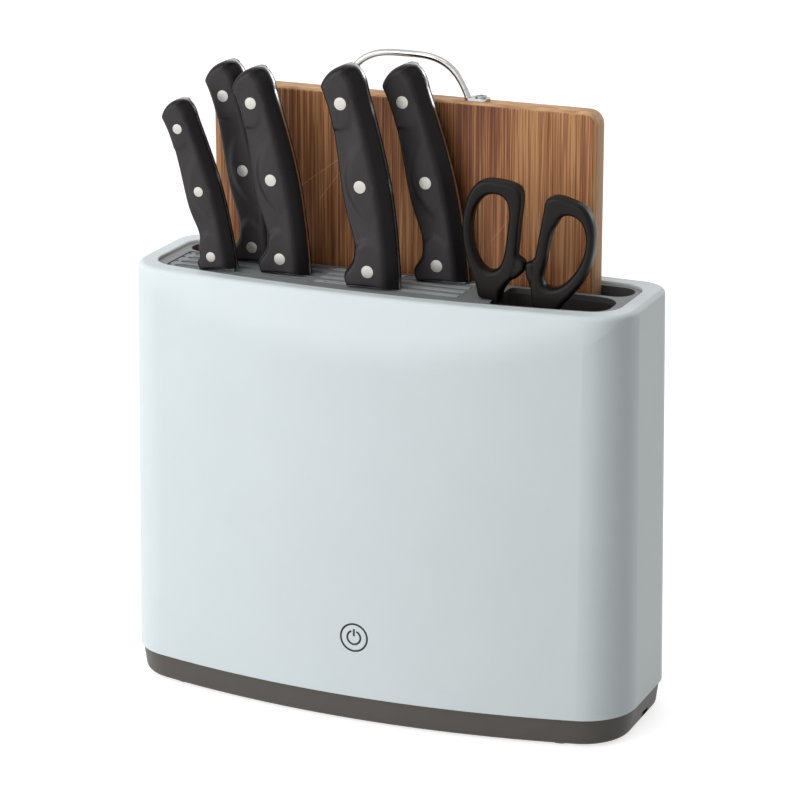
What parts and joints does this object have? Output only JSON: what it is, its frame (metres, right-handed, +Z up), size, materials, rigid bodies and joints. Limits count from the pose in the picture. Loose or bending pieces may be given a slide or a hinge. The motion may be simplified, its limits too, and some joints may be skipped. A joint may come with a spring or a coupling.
{
  "type": "knife sterilizer cabinet",
  "caption": "White knife steriliser cabinet with a grey slotted insert, black-handled knives, kitchen scissors and an upright bamboo cutting board.",
  "frame": {"origin": "on the floor under the middle of the cabinet's footprint", "axes": "+Z up, -Y towards the front with the power sign, +X to the right seen from the front"},
  "size_m": [0.285, 0.104, 0.3457],
  "materials": {
    "shell_white": "satin moulding, faintly cool white",
    "base_grey": "dark warm grey moulding",
    "foot_rubber": "soft matt rubber",
    "screw_steel": "plain steel",
    "chamber_plastic": "mid grey moulding",
    "fan_black": "black glass-filled plastic",
    "heater_frame": "cream heat-proof plastic",
    "heater_metal": "plain fins",
    "circuit_green": "lacquered circuit board",
    "parts_black": "moulded cases",
    "socket_steel": "folded steel shell",
    "pad_foam": "conductive foam",
    "lamp_white": "white lacquered lamp board",
    "led_pale": "clear lamp body",
    "cover_clear": "clear cover",
    "insert_grey": "fine matt grey moulding",
    "lip_grey": "soft light grey lips",
    "blade_steel": "polished along the blade",
    "grip_black": "black satin plastic",
    "rivet_metal": "bright turned ends",
    "scissor_steel": "ground steel",
    "scissor_grip": "dark satin plastic",
    "bamboo": "laminated strips, upright grain",
    "rod_steel": "bent rod with a warm tint"
  },
  "bodies": {
    "cabinet": {"outer_shell": "shell_white", "base_shell": "base_grey", "foot_1": "foot_rubber", "foot_2": "foot_rubber", "foot_3": "foot_rubber", "foot_4": "foot_rubber", "base_screws": "screw_steel", "chamber_deck": "chamber_plastic", "drip_tray": "chamber_plastic", "fan_frame": "fan_black", "heater_frame": "heater_frame", "heater_core": "heater_metal", "control_board": "circuit_green", "board_parts": "parts_black", "power_socket": "socket_steel", "key_board": "circuit_green", "key_pad": "pad_foam", "lamp_board_left": "lamp_white", "lamp_board_right": "lamp_white", "lamp_leds_left": "led_pale", "lamp_leds_right": "led_pale", "lamp_cover_left": "cover_clear", "lamp_cover_right": "cover_clear"},
    "fan": {"fan_rotor": "fan_black"},
    "insert": {"insert_frame": "insert_grey", "slit_plate": "insert_grey", "soft_lips": "lip_grey", "scissors_cup": "insert_grey"},
    "paring_knife": {"paring_blade": "blade_steel", "paring_grip_front": "grip_black", "paring_grip_rear": "grip_black", "paring_rivets": "rivet_metal"},
    "utility_knife": {"utility_blade": "blade_steel", "utility_grip_front": "grip_black", "utility_grip_rear": "grip_black", "utility_rivets": "rivet_metal"},
    "santoku_knife": {"santoku_blade": "blade_steel", "santoku_grip_front": "grip_black", "santoku_grip_rear": "grip_black", "santoku_rivets": "rivet_metal"},
    "chef_knife": {"chef_blade": "blade_steel", "chef_grip_front": "grip_black", "chef_grip_rear": "grip_black", "chef_rivets": "rivet_metal"},
    "slicing_knife": {"slicing_blade": "blade_steel", "slicing_grip_front": "grip_black", "slicing_grip_rear": "grip_black", "slicing_rivets": "rivet_metal"},
    "scissors": {"scissors_blade_left": "scissor_steel", "scissors_grip_left": "scissor_grip", "scissors_screw": "scissor_steel"},
    "scissors_half": {"scissors_blade_right": "scissor_steel", "scissors_grip_right": "scissor_grip"},
    "cutting_board": {"board_slab": "bamboo", "board_handle": "rod_steel", "board_screws": "screw_steel"}
  },
  "joints": [
    {"name": "fan_spin", "type": "hinge", "parent": "cabinet", "child": "fan", "pos_m": [-0.072, -0.008, 0.0125], "axis": [0, 0, 1], "continuous": true},
    {"name": "insert_lift", "type": "slide", "parent": "cabinet", "child": "insert", "axis": [0, 0, 1], "range_m": [0, 0.14]},
    {"name": "paring_draw", "type": "slide", "parent": "insert", "child": "paring_knife", "axis": [-0.075, 0, 0.9972], "range_m": [0, 0.1]},
    {"name": "utility_draw", "type": "slide", "parent": "insert", "child": "utility_knife", "axis": [-0.0035, 0, 1], "range_m": [0, 0.148]},
    {"name": "santoku_draw", "type": "slide", "parent": "insert", "child": "santoku_knife", "axis": [0, 0, 1], "range_m": [0, 0.166]},
    {"name": "chef_draw", "type": "slide", "parent": "insert", "child": "chef_knife", "axis": [0.0209, 0, 0.9998], "range_m": [0, 0.182]},
    {"name": "slicing_draw", "type": "slide", "parent": "insert", "child": "slicing_knife", "axis": [-0.0349, 0, 0.9994], "range_m": [0, 0.18]},
    {"name": "scissors_lift", "type": "slide", "parent": "insert", "child": "scissors", "axis": [0, 0, 1], "range_m": [0, 0.12]},
    {"name": "scissors_open", "type": "hinge", "parent": "scissors", "child": "scissors_half", "pos_m": [0.08101, -0.0133, 0.2101], "axis": [0, 1, 0], "range_deg": [0, 5]},
    {"name": "board_lift", "type": "slide", "parent": "cabinet", "child": "cutting_board", "axis": [0, 0, 1], "range_m": [0, 0.195]}
  ]
}
